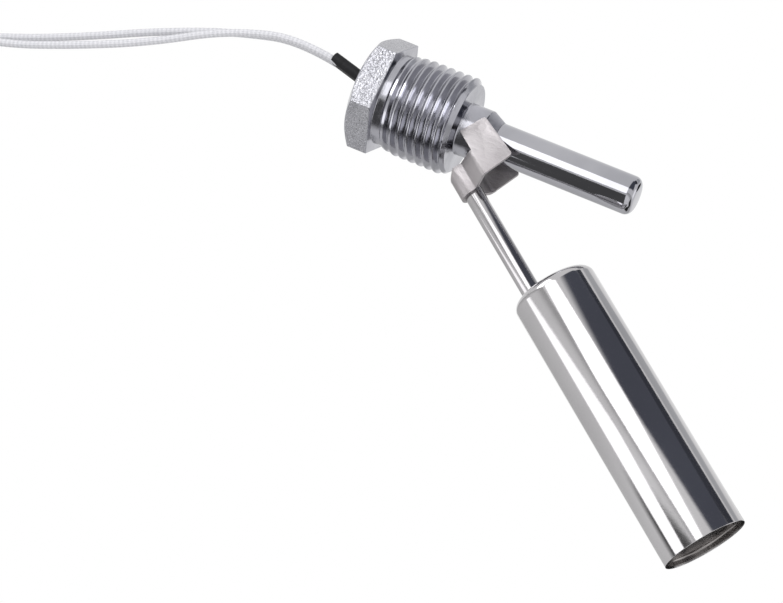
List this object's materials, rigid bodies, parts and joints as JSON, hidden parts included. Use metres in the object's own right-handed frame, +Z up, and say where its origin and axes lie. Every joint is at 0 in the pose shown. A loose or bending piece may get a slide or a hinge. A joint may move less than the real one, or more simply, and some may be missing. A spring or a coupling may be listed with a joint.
{
  "type": "side-mounted float level switch",
  "caption": "Side-mounted liquid level switch: threaded hex plug, polished reed tube, and a cylindrical float on a hinged arm, with braided leads.",
  "frame": {"origin": "centre of the hex's seating face, on the thread's axis, where the plug seats on the tank wall", "axes": "+X along the thread's axis into the tank, +Z up, +Y along the float arm's hinge, away from the viewer"},
  "size_m": [0.2161, 0.023, 0.0821],
  "materials": {
    "plated_steel": "plated and polished",
    "polished_tube": "polished",
    "reed_glass": "clear",
    "reed_metal": "plated",
    "wire_cover": "matte",
    "solder": "dull",
    "clear_wrap": "matte",
    "resin": "cast",
    "black_sleeve": "matte",
    "glass_braid": "braided",
    "tie_plastic": "matte",
    "tinned_copper": "tinned",
    "brushed_steel": "brushed",
    "polished_rod": "polished",
    "polished_float": "polished",
    "magnet": "sintered"
  },
  "bodies": {
    "switch": {"plug_body": "plated_steel", "reed_tube": "polished_tube", "reed_glass": "reed_glass", "reed_blade_near": "reed_metal", "reed_blade_far": "reed_metal", "inner_wire_near": "wire_cover", "inner_wire_far": "wire_cover", "solder_near": "solder", "solder_far": "solder", "reed_wrap": "clear_wrap", "potting_resin": "resin", "lead_sleeve": "black_sleeve", "lead_a": "glass_braid", "lead_b": "glass_braid", "lead_coil": "glass_braid", "coil_tie": "tie_plastic", "lead_tail_a": "glass_braid", "lead_tail_b": "glass_braid", "lead_tip_a": "tinned_copper", "lead_tip_b": "tinned_copper"},
    "float_arm": {"yoke": "brushed_steel", "pivot_pin_front": "brushed_steel", "pivot_pin_rear": "brushed_steel", "arm_rod": "polished_rod", "float_shell": "polished_float", "float_cap": "polished_float", "float_magnet": "magnet", "magnet_cup": "brushed_steel"}
  },
  "joints": [
    {"name": "arm_hinge", "type": "hinge", "parent": "switch", "child": "float_arm", "pos_m": [0.0225, 0, 0], "axis": [0, -1, 0], "range_deg": [-9, 38.5]}
  ]
}
